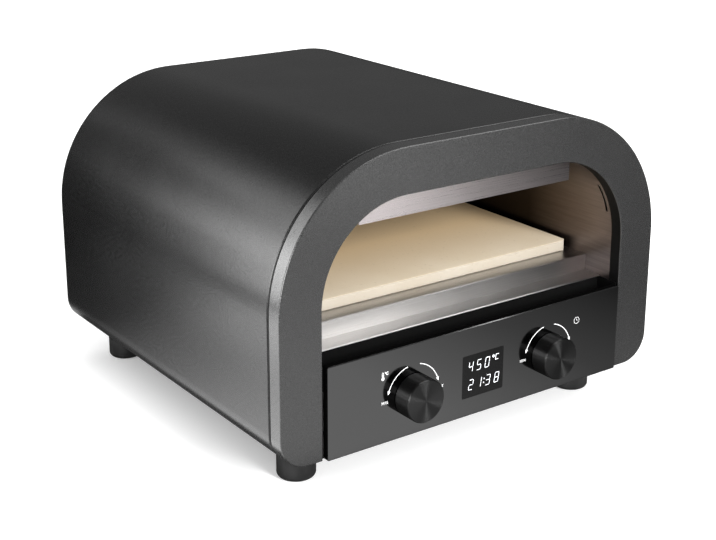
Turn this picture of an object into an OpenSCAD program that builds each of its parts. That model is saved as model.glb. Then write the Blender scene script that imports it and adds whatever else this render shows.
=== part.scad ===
// Countertop electric pizza maker.
// An arched steel oven with an open mouth, a baking stone behind a stepped steel sill,
// a tubular heater above and below the stone, and a control panel with two knobs.
// Millimetres. X runs to the right, Y from the front to the back, Z up from the worktop.
// Inside the modules Y = 0 is the bezel's face and Z = 0 is the underside of the body.

/* [Body] */
// Width over the outer shell
body_w = 400; // [390:1:430]
// Height of the body without its feet
body_h = 244; // [238:1:260]
// Depth from the bezel's face to the back edge of the shell
body_d = 390; // [370:1:430]
// Radius of the two upper corners
top_r = 120; // [105:1:130]
// Radius of the two lower corners
bottom_r = 26; // [18:1:30]
// Thickness of the shell, the base, the rear panel and its cover
sheet_t = 1.2; // [0.8:0.1:2]
// Width of the shell's inward flanges, front and back
flange_w = 14; // [13:0.5:18]
// Depth of the rear panel inside the shell's back edge
back_recess = 3; // [2:0.5:6]

/* [Bezel] */
// Width of the bezel's face round the mouth
frame_w = 39; // [36:1:44]
// Depth of the bezel
bezel_d = 14; // [13:0.5:19]
// Thickness of the bezel's casting
bezel_t = 3; // [2:0.5:4]
// Rounding of the bezel's outer front edge
edge_r = 1; // [0.5:0.25:2]
// Bevel of the mouth's edge and of the shell's front edge
bevel = 0.6; // [0.3:0.1:0.8]
// Gap between the bezel and the shell
seam_w = 3; // [1.5:0.5:4]
// Depth of the seam behind the outline
seam_depth = 2.5; // [1.5:0.5:4]
// Thickness of the black ring that lines the mouth
ring_t = 2; // [1.5:0.25:3]
// Thickness of the bezel's lip in front of that ring
lip_t = 1.2; // [1:0.1:2]
// Step from the back of the bezel to the front of the liner
liner_rebate = 2; // [1:0.5:4]
// Distance of the bezel's screws from the outline
boss_inset = 8.5; // [8:0.5:9]
// Diameter of the screw bosses behind the bezel
boss_d = 8; // [7:0.5:9]

/* [Sill and chamber] */
// Height of the sill's front ledge over the control panel's top edge
ledge_lift = 2; // [1:0.5:5]
// Distance of the ledge's front edge behind the bezel's face
ledge_y = 24; // [22:1:28]
// Depth of the ledge
ledge_d = 19; // [14:1:24]
// Height of the upper step
step_h = 15; // [14:0.5:20]
// Depth of the flat behind the upper step
bed_d = 17; // [12:1:24]
// Thickness of the stainless sheet of the liner, sill and tray
liner_t = 1; // [0.6:0.1:1.5]
// Width of the liner's outward flanges
liner_flange = 10; // [8:1:12]
// Distance from the chamber's back wall to the rear panel
back_gap = 13; // [10:1:20]
// Width of the heat baffle under the top of the mouth
baffle_w = 225; // [200:5:240]
// Height of the heat baffle below the top of the mouth
baffle_drop = 24; // [18:1:28]
// Distance of the baffle behind the bezel's face
baffle_y = 20; // [19:1:30]
// Width of the slits in the liner's shoulders
slit_w = 2.5; // [1.5:0.5:4]

/* [Baking stone] */
// Thickness of the stone
stone_t = 10; // [8:0.5:14]
// Gap between the stone and each side wall
stone_side = 6; // [4:0.5:15]
// Gap between the front edge of the tray and the stone
stone_front = 1; // [1:0.5:10]
// Gap between the stone and the back wall
stone_back = 3; // [2:0.5:10]
// Corner radius of the stone
stone_r = 8; // [4:1:20]
// Rounding of the stone's upper and lower edges
stone_edge = 1.5; // [0.5:0.5:3]
// Depth of the recess under the stone
recess_h = 17; // [16:0.5:20]
// Width of the tray's rim that carries the stone
rim_w = 24; // [16:1:30]

/* [Heaters] */
// Diameter of the heater tubes
heater_d = 7; // [6:0.5:8.5]
// Number of straight runs of a heater
heater_runs = 6; // [4:2:6]
// Distance between two runs
heater_pitch = 42; // [34:1:44]
// Distance from the chamber's top to the upper heater's axis
upper_drop = 17; // [14:1:26]
// Height of the lower heater's axis over the tray's recess
lower_lift = 8; // [6:0.5:9]
// Distance from the baffle to the upper heater's front bends
upper_front = 50; // [30:5:80]
// Distance from the upper heater's rear bends to the back wall
upper_back = 24; // [18:1:40]
// Distance from the edges of the tray's recess to the lower heater's bends
lower_gap = 12; // [8:1:30]
// Diameter of the temperature probe
probe_d = 4; // [3:0.5:6]
// Length of the probe inside the chamber
probe_l = 45; // [25:5:80]

/* [Insulation and compartment] */
// Thickness of the insulation round the chamber
blanket_t = 23; // [10:1:23]
// Height of the heat shield over the body's underside
shield_z = 66; // [64:1:67]
// Height of the heat shield's side flanges
shield_flange = 12; // [8:1:14]

/* [Control panel] */
// Height of the control panel
panel_h = 80; // [80:1:86]
// Gap between the panel and each leg of the bezel
panel_gap = 2.8; // [1:0.2:4]
// Thickness of the panel
panel_t = 6; // [5:0.5:7]
// How far the panel stands in front of the bezel
panel_proud = 3; // [1:0.5:3]
// Distance of each knob from the middle
knob_x = 74; // [60:1:85]
// Height of the knobs' axes
knob_z = 35.5; // [30:0.5:36]
// Diameter of a knob
knob_d = 37.4; // [32:0.2:42]
// Length of a knob with its cap
knob_l = 16.5; // [15:0.5:24]
// Gap between a knob and the panel
knob_gap = 0.6; // [0.4:0.1:1.2]
// Wall of a knob
knob_wall = 2; // [1.5:0.5:3]
// Thickness of a knob's metal cap
cap_t = 1.4; // [1:0.1:2]
// Bevel of the cap's edge
cap_bevel = 0.7; // [0.4:0.1:0.9]
// Diameter of the encoder shafts
shaft_d = 6; // [5:0.5:6.5]
// Width of the display window
display_w = 45; // [38:1:50]
// Height of the display window
display_h = 38.5; // [30:0.5:40]
// Height of the display's centre
display_z = 36; // [32:0.5:36]
// Height of the air channel's floor
channel_z = 58; // [57:0.5:60]

/* [Feet] */
// Height of the feet
foot_h = 34; // [26:1:40]
// Diameter of the feet
foot_d = 33; // [28:1:38]
// Rounding of a foot's lower edge
foot_round = 4; // [2:0.5:5]
// Distance of the feet from the sides
foot_side = 45.5; // [42:0.5:55]
// Distance of the front feet behind the bezel's face
foot_front = 49; // [42:1:70]
// Distance of the rear feet from the shell's back edge
foot_rear = 31; // [26:1:60]

/* [Back] */
// Depth of the cover over the heater terminals
cover_d = 24; // [22:1:30]
// Distance of the cover from the body's outline
cover_inset = 30; // [28:1:40]
// Height of the cover's lower edge
cover_z = 72; // [68:1:76]
// Bore of the cable gland
gland_bore = 9; // [7:0.5:10]
// Distance of the gland from the side
gland_side = 72; // [68:1:90]
// Height of the gland
gland_z = 34; // [30:1:38]

/* [Hidden] */
$fn = 96;

// Clearances
fit = 0.2;        // between pieces that slide or drop into place
running = 0.05;   // radial, between a shaft and its bush
hole_play = 0.2;  // radial, between a screw and its clearance hole
over = 1;         // how far a cutter runs past what it cuts

// Colours
paint_dark = [0.26, 0.26, 0.27];
paint_grey = [0.42, 0.42, 0.43];
panel_grey = [0.30, 0.30, 0.31];
steel = [0.78, 0.77, 0.75];
zinc = [0.62, 0.63, 0.64];
black = [0.06, 0.06, 0.06];
stone_cream = [0.90, 0.84, 0.72];
wool_white = [0.88, 0.87, 0.83];
heater_grey = [0.35, 0.33, 0.31];
board_green = [0.10, 0.35, 0.20];
plastic_white = [0.85, 0.85, 0.82];

// Half widths and depths of the body
body_x = body_w / 2;
mouth_x = body_x - frame_w;
mouth_top = body_h - frame_w;
shell_y = bezel_d + seam_w;
back_y = body_d - back_recess;
panel_out_y = back_y + sheet_t;
liner_y = bezel_d - liner_rebate;
gasket_lip = 0.8;     // thickness of the gasket's lip in front of the shell's edge
slit_front = 3;       // from the liner's front edge to the slit in its shoulder
slit_low = 15;        // where the slit starts and ends, in degrees over the horizontal
slit_high = 36;
baffle_foot = 18;     // depth of the baffle's flange under the liner

// Sill, tray and stone
ledge_z = panel_h + ledge_lift;
bed_z = ledge_z + step_h;
step_y = ledge_y + ledge_d;
tray_y = step_y + bed_d;
chamber_back = back_y - back_gap;
recess_z = bed_z - recess_h;
stone_y = tray_y + stone_front;
stone_x = mouth_x - stone_side;
stone_l = chamber_back - stone_back - stone_y;
liner_z = ledge_z - liner_t;
sill_bend = 0.7 * liner_t;   // bevel that stands for the outside of a bend in the sill
tray_r = 20;          // corner radius of the tray's recess

// Heaters
heater_r = heater_d / 2;
upper_z = mouth_top - upper_drop;
lower_z = recess_z + lower_lift;
heater_end_x = heater_pitch * (heater_runs - 1) / 2;
heater_tail = 12;     // length of a heater's cold end behind the chamber
ceramic_l = 5;        // length of a heater's ceramic end
hanger_w = 10;        // width of a hanger's strap
hanger_foot = 12;     // length of its foot
hanger_front = 70;    // from the tray's recess to the front hangers
hanger_rear = 60;     // from the rear hangers to the tray's recess
bush_af = 14;         // across the flats of a heater's hexagon
bush_t = 4;           // thickness of that hexagon
window_play = 2;      // room round a hexagon in the rear panel
probe_tail = 6;       // how much longer the probe's cold end is than a heater's

// Insulation: its gaps to the screw heads, to the shell's arch and to the sides and the front
blanket_front = 2;
back_wool_gap = 4;
floor_wool_side = 2;
floor_wool_front = 12;
rail_front = 8;       // from the channel's back to the rails

// Front channel
channel_y = panel_t - panel_proud;
channel_back = ledge_y + liner_t;
channel_lip = 9;      // depth of the channel's flange under the ledge
channel_drop = 2;     // from the panel's top edge down to the channel's front wall

// Feet
foot_x = body_x - foot_side;
foot_places = [
    [-foot_x, foot_front], [foot_x, foot_front],
    [-foot_x, body_d - foot_rear], [foot_x, body_d - foot_rear]
];
foot_wall = 7;        // wall of a foot's hollow underside
foot_cap = 11;        // thickness of a foot's solid top
return_w = foot_side + foot_d / 2 + 4;

// Screws
screw_r = 1.5;
head_r = 3.2;
head_t = 2.2;
bolt_r = 2.5;
washer_r = 8;
washer_t = 1.5;
bolt_head_t = 3.5;
nut_af = 8;
nut_t = 4;
bolt_reach = 9;       // height of a foot bolt's end over the underside
screw_play = 2;       // room in front of the end of a bezel screw
rear_screw_reach = 7;    // how far a rear screw goes in past the rear panel
cover_screw_reach = 6;   // how far a cover screw goes in past the cover's lip
board_screw_l = 8;
screw_lift = 16;      // from the body's round lower corner to the lowest screw
screw_drop = 8;       // from the arch's shoulder down to the screw on each side
top_screw_x = 45;
base_screw_x = 60;
base_screw_z = 7;
drive_w = 4;          // the cross in a screw's head
drive_t = 0.8;
drive_depth = 1;

cover_lip = 10;       // width of the rear cover's lip, which its screws go through
cover_screw_lift = 14;   // from the cover's lower edge to its lowest screws

// Cooling slots: how long, how wide, how many and how far apart
vent_w = 4;
base_vent_l = 64;
base_vents = 9;
base_vent_pitch = 11;
base_vent_x = 66;
base_vent_y = 110;
rear_vent_l = 28;
rear_vents = 16;
rear_vent_pitch = 12;
rear_vent_x = -132;
rear_vent_z = 36;
cover_vent_l = 62;
cover_vent_w = 5;
cover_vents = 7;
cover_vent_pitch = 13;
cover_vent_x = 40;
cover_vent_lift = 24;
channel_vent_l = 24;
channel_vent_w = 5;
channel_vents = 9;
channel_vent_pitch = 32;

// Encoders and boards behind the panel
board_y = 15.5;
board_t = 1.6;
board_x = 105;
board_low = 8;
board_high = channel_z - 2;
encoder_y = 9;
encoder_w = 13;
bush_r = shaft_d / 2 + 0.9;
bush_out = 3.4;       // how far an encoder's bush stands in front of the panel
nut_out = 2.2;        // thickness of an encoder's nut
encoder_nut_af = 11;
pillar_inset = 6;
pillar_lift = 5;
pillar_r = 3;
encoder_well = 3;     // from an encoder's front to the bottom of its bore
shaft_tail = 2.5;
hub_wall = 4;         // wall of a knob's hub
pillar_places = [for (s = [-1, 1], z = [board_low + pillar_lift, board_high - pillar_lift])
    [s * (board_x - pillar_inset), z]];

// Parts on the back of the control board
chip_w = 16;
chip_t = 1.6;
buzzer_r = 5;
buzzer_t = 6;
cell_r = 4;
cell_t = 9;
cell_pitch = 12;
socket_w = 16;
socket_t = 8;
socket_h = 6;

// Power board, from its left front corner, and what stands on it
power_w = 140;
power_l = 100;
power_x = -110;
power_setback = 152;  // from the rear panel to the board's front edge
power_y = back_y - power_setback;
standoff_h = 8;
standoff_r = 4;
standoff_inset = 6;
power_z = 2 * sheet_t + standoff_h;
relay = [28, 14, 26];
relay_place = [10, 15];
relay_pitch = 20;
transformer = [36, 32, 28];
transformer_place = [50, 15];
smoother_r = 6;       // the three tall capacitors
smoother_h = 24;
smoother_pitch = 16;
smoother_place = [102, 20];
sink_w = 56;          // the heat sink's plate and its fins
sink_t = 3;
sink_h = 30;
fin_t = 1.5;
fin_l = 13;
fin_gaps = 6;
sink_x = 14;
sink_back = 14;       // from the fins to the board's back edge
fuse_holder = [18, 12, 12];
fuse_side = 24;       // from the fuse holder's left side to the board's right edge
fuse_y = 15;

// Gland: the wall round its bore, its two nuts and its tapered nose
gland_wall = 3;
gland_reach = 10;
gland_af = 24;
gland_t = 5;
gland_nut_af = 22;
gland_nut_t = 4;
gland_nose = 10;
gland_shoulder = 2;   // how much wider the nose is at its base

// Terminal block in front of the gland
gland_x = body_x - gland_side;
poles = 3;
pole_pitch = 13;
pole_margin = 9;
block_d = 22;
block_h = 20;
block_w = 2 * pole_margin + pole_pitch * (poles - 1);
block_x = gland_x - 36;
block_y = back_y - 57;
wire_r = 2.6;
wire_z = 7;
well_r = 3.5;

// Thermal cut-out under the heat shield
cutout_place = [60, 150];
cutout_r = 8.5;
cutout_h = 9;
cutout_ear_w = 34;
cutout_ear_t = 1.5;
tab_w = 6;            // tab terminals, here and on the heaters
tab_t = 0.8;
tab_l = 8;

// The row's origin is at the middle of the whole object's footprint
front_reach = panel_proud + knob_gap + knob_l;
rear_reach = panel_out_y + cover_d;
middle_y = (rear_reach - front_reach) / 2;

// ---------------------------------------------------------------- helpers

module placed() translate([0, -middle_y, foot_h]) children();

// Extrudes a shape drawn in X and Z from depth y0 to depth y1
module slab(y0, y1) translate([0, y1, 0]) rotate([90, 0, 0]) linear_extrude(y1 - y0) children();

// Extrudes a shape drawn in Y and Z from x0 to x1
module beam(x0, x1) translate([x0, 0, 0]) rotate([90, 0, 90]) linear_extrude(x1 - x0) children();

module rod(y0, y1, r) translate([0, y0, 0]) rotate([-90, 0, 0]) cylinder(r = r, h = y1 - y0);

module box(x0, x1, y0, y1, z0, z1) translate([x0, y0, z0]) cube([x1 - x0, y1 - y0, z1 - z0]);

// A block that stands on z = 0, from its left front corner
module block(place, size) translate([place[0], place[1], 0]) cube(size);

module rect(x0, x1, z0, z1) translate([x0, z0]) square([x1 - x0, z1 - z0]);

module at(p) translate([p[0], 0, p[1]]) children();

module both() for (m = [0, 1]) mirror([m, 0, 0]) children();

module hexagon(af, h) cylinder(r = af / sqrt(3), h = h, $fn = 6);

// Rectangle with round corners
module rounded(x0, x1, z0, z1, r) {
    rect(x0 + r, x1 - r, z0, z1);
    rect(x0, x1, z0 + r, z1 - r);
    for (x = [x0 + r, x1 - r], z = [z0 + r, z1 - r]) translate([x, z]) circle(r);
}

// Slot with round ends, l long overall, along X
module slot(l, w) {
    square([l - w, w], center = true);
    for (s = [-1, 1]) translate([s * (l - w) / 2, 0]) circle(w / 2);
}

// An arch with straight legs down to z0, drawn in by inset
module arch(inset, z0) {
    x = body_x - inset;
    top = body_h - inset;
    r = top_r - inset;
    rect(-x, x, z0, top - r);
    rect(r - x, x - r, z0, top);
    for (s = [-1, 1]) translate([s * (x - r), top - r]) intersection() {
        circle(r);
        rect(-r, r, z0 - top + r, r);
    }
}

// The body's whole outline, drawn in by inset: the arch with round lower corners
module outline(inset) {
    x = body_x - inset;
    r = max(bottom_r - inset, 0.5);
    arch(inset, inset + r);
    rect(r - x, x - r, inset, inset + r + over);
    for (s = [-1, 1]) translate([s * (x - r), inset + r]) circle(r);
}

// Sweeps a section along an arch. Section x points outward and section y to the front.
module sweep_arch(inset, z0) both() {
    x = body_x - inset;
    r = top_r - inset;
    spring = body_h - top_r;
    translate([x, 0, z0]) linear_extrude(spring - z0) mirror([0, 1]) children();
    translate([x - r, 0, spring]) rotate([90, 0, 0])
        rotate_extrude(angle = 90) translate([r, 0]) children();
    translate([0, 0, body_h - inset]) rotate([0, -90, 180]) linear_extrude(x - r) children();
}

// Sweeps a section along the lower corners and the underside, as far in as reach
module sweep_foot(reach) both() {
    translate([body_x - bottom_r, 0, bottom_r]) rotate([90, 0, 0])
        rotate_extrude(angle = -90) translate([bottom_r, 0]) children();
    translate([body_x - bottom_r, 0, 0]) rotate([0, 90, 180])
        linear_extrude(reach - bottom_r) children();
}

// What a rounded outer edge of radius r takes off, in three flats
module edge_cut(r) polygon(concat(
    [for (a = [0 : 30 : 90]) [r * sin(a) - r, r * cos(a) - r]],
    [[over, -r], [over, over], [-r, over]]
));

// What a bevel of size c takes off an outer edge, and off the mouth's edge
module bevel_cut(c) polygon([[-c - over, over], [over, -c - over], [over, over]]);
module mouth_bevel_cut(c) polygon([[c + over, over], [-over, -c - over], [-over, over]]);

// Places on the outline, drawn in by inset: on a side, on a corner and on the top
function side_place(s, inset, z) = [s * (body_x - inset), z];
function corner_place(s, inset, a) = [
    s * (body_x - top_r + (top_r - inset) * cos(a)),
    body_h - top_r + (top_r - inset) * sin(a)
];
function round_places(inset, low) = [for (s = [-1, 1]) each [
    side_place(s, inset, low),
    side_place(s, inset, body_h - top_r - screw_drop),
    corner_place(s, inset, 45),
    [s * top_screw_x, body_h - inset]
]];
bezel_places = round_places(boss_inset, bottom_r + screw_lift);
rear_places = round_places(boss_inset, bottom_r + screw_lift);
base_places = [for (s = [-1, 1]) [s * base_screw_x, base_screw_z]];
cover_screw_inset = cover_inset - cover_lip / 2;
cover_places = [for (s = [-1, 1]) each [
    side_place(s, cover_screw_inset, cover_z + cover_screw_lift),
    corner_place(s, cover_screw_inset, 22),
    corner_place(s, cover_screw_inset, 80)
]];

// Screw along Y: the head's seat is at y = 0 and the shank runs to +Y
module screw(l) {
    rod(0, l, screw_r);
    difference() {
        rod(-head_t, 0, head_r);
        for (a = [0, 90]) rotate([0, a, 0]) translate([-drive_w / 2, -head_t - over, -drive_t / 2])
            cube([drive_w, drive_depth + over, drive_t]);
    }
}

// ---------------------------------------------------------------- outside

module outer_shell() color(paint_dark) placed() difference() {
    union() {
        slab(shell_y, body_d) difference() {
            outline(0);
            outline(sheet_t);
        }
        for (y = [shell_y, back_y - sheet_t]) slab(y, y + sheet_t) difference() {
            outline(sheet_t / 2);
            outline(flange_w);
        }
    }
    // The underside is open between the two returns that carry the feet
    box(return_w - body_x, body_x - return_w, shell_y - over, body_d + over, -over, flange_w + over);
    translate([0, shell_y, 0]) {
        sweep_arch(0, bottom_r) bevel_cut(bevel);
        sweep_foot(return_w) bevel_cut(bevel);
    }
    for (p = bezel_places) at(p) rod(shell_y - over, shell_y + sheet_t + over, screw_r + hole_play);
    for (p = rear_places) at(p) rod(back_y - sheet_t - over, back_y + over, screw_r);
    for (p = foot_places) translate([p[0], p[1], -over])
        cylinder(r = bolt_r + hole_play, h = sheet_t + 2 * over);
}

module front_bezel() color(paint_grey) placed() difference() {
    union() {
        // Outer band, face, lip and inner band of the hollow casting
        slab(0, bezel_d) difference() {
            outline(0);
            outline(bezel_t);
            rect(-mouth_x, mouth_x, -over, bottom_r);
        }
        slab(0, bezel_t) difference() {
            outline(0);
            arch(frame_w - ring_t, -over);
        }
        slab(0, lip_t) difference() {
            outline(0);
            arch(frame_w, -over);
        }
        slab(0, liner_y) difference() {
            arch(frame_w - ring_t - bezel_t, 0);
            arch(frame_w - ring_t, -over);
        }
        // Rail that ties the legs together behind the control panel
        box(-mouth_x - ring_t - over, mouth_x + ring_t + over, channel_y + over, bezel_d, 0, bezel_t);
        for (p = bezel_places) at(p) rod(bezel_t / 2, bezel_d, boss_d / 2);
    }
    sweep_arch(0, bottom_r) edge_cut(edge_r);
    sweep_foot(frame_w + over) edge_cut(edge_r);
    sweep_arch(frame_w, -over) mouth_bevel_cut(bevel);
    for (p = bezel_places) at(p) rod(bezel_t + over, bezel_d + over, screw_r);
}

module bezel_screws() color(zinc) placed() for (p = bezel_places) {
    seat_y = shell_y + sheet_t;
    at(p) translate([0, seat_y, 0]) mirror([0, 1, 0]) screw(seat_y - bezel_t - over - screw_play);
}

module seam_gasket() color(black) placed() difference() {
    union() {
        slab(bezel_d, shell_y) difference() {
            outline(seam_depth);
            outline(flange_w);
        }
        slab(shell_y - gasket_lip, shell_y) difference() {
            outline(bevel + fit);
            outline(seam_depth + over);
        }
    }
    box(return_w - body_x, body_x - return_w, bezel_d - over, shell_y + over, -over, flange_w + over);
    for (p = bezel_places) at(p) rod(bezel_d - over, shell_y + over, screw_r + hole_play);
}

module mouth_ring() color(black) placed() slab(lip_t, liner_y) difference() {
    arch(frame_w - ring_t, channel_z + liner_t);
    arch(frame_w, channel_z);
}

module foot(p) color(black) placed() translate([p[0], p[1], 0]) difference() {
    rotate_extrude() {
        rect(0, foot_d / 2, foot_round - foot_h, 0);
        rect(0, foot_d / 2 - foot_round, -foot_h, foot_round - foot_h + over);
        translate([foot_d / 2 - foot_round, foot_round - foot_h]) circle(foot_round);
    }
    translate([0, 0, -foot_h - over]) cylinder(r = foot_d / 2 - foot_wall, h = foot_h - foot_cap + over);
    translate([0, 0, -foot_h]) cylinder(r = bolt_r + hole_play, h = foot_h + over);
}

module foot_front_left() foot(foot_places[0]);
module foot_front_right() foot(foot_places[1]);
module foot_rear_left() foot(foot_places[2]);
module foot_rear_right() foot(foot_places[3]);

module foot_fasteners() color(zinc) placed() for (p = foot_places) translate([p[0], p[1], 0]) {
    translate([0, 0, -foot_cap - washer_t]) cylinder(r = washer_r, h = washer_t);
    translate([0, 0, -foot_cap - washer_t - bolt_head_t]) hexagon(nut_af, bolt_head_t);
    translate([0, 0, -foot_cap - washer_t - over])
        cylinder(r = bolt_r, h = foot_cap + washer_t + over + bolt_reach);
    translate([0, 0, 2 * sheet_t]) hexagon(nut_af, nut_t);
}

module base_plate() color(zinc) placed() difference() {
    wide = body_x - bottom_r - 2;
    narrow = body_x - return_w - fit;
    union() {
        box(-wide, wide, shell_y + sheet_t, back_y - sheet_t, sheet_t, 2 * sheet_t);
        box(-narrow, narrow, shell_y, back_y, sheet_t, 2 * sheet_t);
        box(-narrow, narrow, back_y - sheet_t, back_y, sheet_t, flange_w - 2);
    }
    for (p = base_places) at(p) rod(back_y - sheet_t - over, back_y + over, screw_r);
    for (p = foot_places) translate([p[0], p[1], 0]) cylinder(r = bolt_r + hole_play, h = 3 * sheet_t);
    // Two fields of cooling slots
    for (s = [-1, 1], i = [0 : base_vents - 1])
        translate([s * base_vent_x, base_vent_y + base_vent_pitch * i, sheet_t - over])
            linear_extrude(sheet_t + 2 * over) slot(base_vent_l, vent_w);
}

// ---------------------------------------------------------------- control panel

module panel_holes(grow) {
    for (s = [-1, 1]) translate([s * knob_x, knob_z]) circle(bush_r + fit + grow);
    rounded(-display_w / 2 - grow, display_w / 2 + grow,
        display_z - display_h / 2 - grow, display_z + display_h / 2 + grow, 1.5);
}

module control_panel() color(panel_grey) placed() intersection() {
    slab(-panel_proud, channel_y) difference() {
        rounded(panel_gap - mouth_x, mouth_x - panel_gap, 0, panel_h, 1.5);
        panel_holes(0);
    }
    // Bevelled front edges
    beam(-body_x, body_x) polygon([
        [-panel_proud, bevel], [bevel - panel_proud, 0], [channel_y, 0],
        [channel_y, panel_h], [bevel - panel_proud, panel_h], [-panel_proud, panel_h - bevel]
    ]);
}

module panel_carrier() color(zinc) placed() difference() {
    union() {
        slab(channel_y, channel_y + sheet_t) difference() {
            rect(-mouth_x - ring_t, mouth_x + ring_t, bezel_t, channel_z);
            panel_holes(1);
        }
        for (p = pillar_places) at(p) rod(channel_y + sheet_t / 2, board_y, pillar_r);
    }
    for (p = pillar_places) at(p) rod(channel_y + 2 * sheet_t, board_y + over, screw_r);
}

module display_window() color(black) placed() slab(0.1 - panel_proud, 1.6 - panel_proud)
    rounded(0.1 - display_w / 2, display_w / 2 - 0.1,
        display_z - display_h / 2 + 0.1, display_z + display_h / 2 - 0.1, 1.4);

module display_module() color([0.12, 0.12, 0.12]) placed() {
    // Digit block behind the window, with its header down to the board
    slab(1.6 - panel_proud, encoder_y) rect(1 - display_w / 2, display_w / 2 - 1,
        display_z - display_h / 2 + 1, display_z + display_h / 2 - 1);
    for (z = [display_z - display_h / 2 + 3, display_z + display_h / 2 - 3])
        slab(encoder_y, board_y) rect(-display_w / 3, display_w / 3, z - 1.2, z + 1.2);
}

module control_board() color(board_green) placed() difference() {
    back = board_y + board_t;
    middle = (board_low + board_high) / 2;
    union() {
        slab(board_y, back) rect(-board_x, board_x, board_low, board_high);
        slab(back, back + chip_t) rect(-chip_w / 2, chip_w / 2, middle - chip_w / 2, middle + chip_w / 2);
        at([-40, middle + chip_w / 2]) rod(back, back + buzzer_t, buzzer_r);
        for (s = [-1, 1]) {
            at([36, middle + s * cell_pitch / 2]) rod(back, back + cell_t, cell_r);
            slab(back, back + socket_t) translate([s * (board_x - 35), board_low + pillar_lift])
                square([socket_w, socket_h], center = true);
        }
    }
    for (p = pillar_places) at(p) rod(board_y - over, back + over, screw_r + hole_play);
}

module board_screws() color(zinc) placed() for (p = pillar_places)
    at(p) translate([0, board_y + board_t, 0]) mirror([0, 1, 0]) screw(board_screw_l);

module encoder(s) color(zinc) placed() at([s * knob_x, knob_z]) difference() {
    union() {
        box(-encoder_w / 2, encoder_w / 2, encoder_y, board_y, -encoder_w / 2, encoder_w / 2);
        rod(-panel_proud - bush_out, encoder_y + over, bush_r);
    }
    rod(-panel_proud - bush_out - over, encoder_y + encoder_well, shaft_d / 2 + running);
}

module encoder_left() encoder(-1);
module encoder_right() encoder(1);

module encoder_nuts() color(zinc) placed() for (s = [-1, 1]) at([s * knob_x, knob_z])
    translate([0, -panel_proud, 0]) rotate([90, 0, 0]) difference() {
        hexagon(encoder_nut_af, nut_out);
        translate([0, 0, -over]) cylinder(r = bush_r, h = nut_out + 2 * over);
    }

// Everything on a knob's axis is drawn from the panel's face outward
module on_knob(s) placed() at([s * knob_x, knob_z]) translate([0, -panel_proud, 0])
    rotate([90, 0, 0]) children();

shaft_out = knob_gap + knob_l - cap_t - knob_wall;   // where a shaft ends inside its knob
knob_hub = bush_out + 0.5;                           // where a knob's hub starts

module shaft(s) color(zinc) on_knob(s) {
    back = panel_proud + encoder_y + shaft_tail;
    translate([0, 0, -back]) cylinder(d = shaft_d, h = back + shaft_out);
}

module shaft_left() shaft(-1);
module shaft_right() shaft(1);

module knob(s) color(black) on_knob(s) difference() {
    hub_r = shaft_d / 2 + hub_wall;
    hollow = knob_l - cap_t - 2 * knob_wall;
    translate([0, 0, knob_gap]) cylinder(d = knob_d, h = knob_l - cap_t);
    // Hollow between the wall and the hub, and room for the encoder's nut
    translate([0, 0, knob_gap - over]) difference() {
        cylinder(r = knob_d / 2 - knob_wall, h = hollow + over);
        cylinder(r = hub_r, h = hollow + over);
    }
    cylinder(r = hub_r + over / 2, h = knob_hub);
    cylinder(d = shaft_d, h = shaft_out);
}

module knob_left() knob(-1);
module knob_right() knob(1);

module knob_cap(s) color([0.10, 0.10, 0.10]) on_knob(s)
    translate([0, 0, knob_gap + knob_l - cap_t]) rotate_extrude() polygon([
        [0, 0], [knob_d / 2 - 0.1, 0], [knob_d / 2 - 0.1, cap_t - cap_bevel],
        [knob_d / 2 - 0.1 - cap_bevel, cap_t], [0, cap_t]
    ]);

module knob_cap_left() knob_cap(-1);
module knob_cap_right() knob_cap(1);

// ---------------------------------------------------------------- sill and chamber

module front_channel() color(black) placed() difference() {
    x = mouth_x - fit;
    top = ledge_z - liner_t;
    union() {
        // Floor between the legs, front wall behind the panel, rear wall under the ledge
        box(-mouth_x - ring_t, mouth_x + ring_t, channel_y, channel_back + liner_t, channel_z,
            channel_z + liner_t);
        box(-x, x, channel_y, channel_y + liner_t, channel_z, panel_h - channel_drop);
        box(-x, x, channel_back, channel_back + liner_t, channel_z, top);
        box(-x, x, channel_back, channel_back + channel_lip, top - liner_t, top);
        for (s = [-1, 1]) translate([s * (x - liner_t / 2), 0, 0])
            box(-liner_t / 2, liner_t / 2, channel_y, channel_back + liner_t, channel_z, top);
    }
    // Air slots in the floor
    for (i = [0 : channel_vents - 1]) translate([
        channel_vent_pitch * (i - (channel_vents - 1) / 2), (channel_y + liner_t + channel_back) / 2,
        channel_z - over
    ]) linear_extrude(liner_t + 2 * over) slot(channel_vent_l, channel_vent_w);
}

module front_sill() color(steel) placed() beam(-mouth_x, mouth_x) polygon([
    [ledge_y, ledge_z - sill_bend], [ledge_y + sill_bend, ledge_z], [step_y, ledge_z],
    [step_y, bed_z - sill_bend], [step_y + sill_bend, bed_z], [tray_y, bed_z],
    [tray_y, bed_z - liner_t], [step_y + liner_t, bed_z - liner_t],
    [step_y + liner_t, ledge_z - liner_t], [ledge_y, ledge_z - liner_t]
]);

// The tray's recess in plan, drawn in by inset
module recess(inset) rounded(
    rim_w + inset - mouth_x, mouth_x - rim_w - inset,
    tray_y + rim_w + inset, chamber_back - rim_w - inset, tray_r - inset
);

module stone_tray() color(steel) placed() difference() {
    union() {
        box(-mouth_x, mouth_x, tray_y, chamber_back, bed_z - liner_t, bed_z);
        translate([0, 0, recess_z - liner_t]) linear_extrude(recess_h) recess(0);
    }
    translate([0, 0, recess_z]) linear_extrude(recess_h + over) recess(liner_t);
    heater_ends(lower_z) rod(chamber_back - rim_w - 2 * liner_t - over, chamber_back, heater_r + 1);
}

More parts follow.
